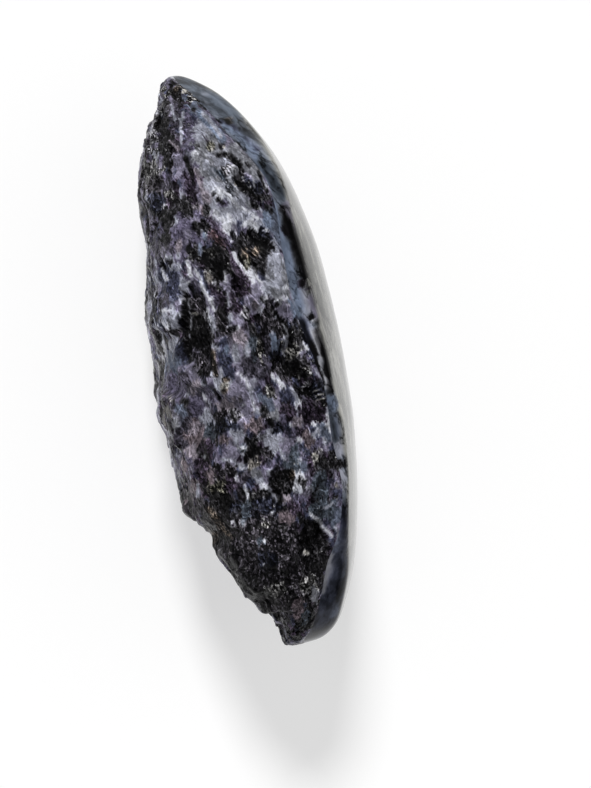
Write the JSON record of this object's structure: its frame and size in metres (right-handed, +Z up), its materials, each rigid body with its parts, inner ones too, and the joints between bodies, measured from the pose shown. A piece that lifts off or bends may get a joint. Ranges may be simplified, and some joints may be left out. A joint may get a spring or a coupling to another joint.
{
  "type": "half-polished dendritic stone",
  "caption": "Dark speckled natural stone, rough and broken on its back and edges, with one domed polished face, lying on its long edge.",
  "frame": {"origin": "on the flat resting face under the stone, below the middle of its length", "axes": "+X along the stone to its pointed tip, -Y the way the polished face looks, +Z up from the surface it rests on"},
  "size_m": [0.064, 0.0253, 0.0311],
  "materials": {
    "stone": "satin"
  },
  "bodies": {
    "root": {"stone": "stone"}
  },
  "joints": []
}
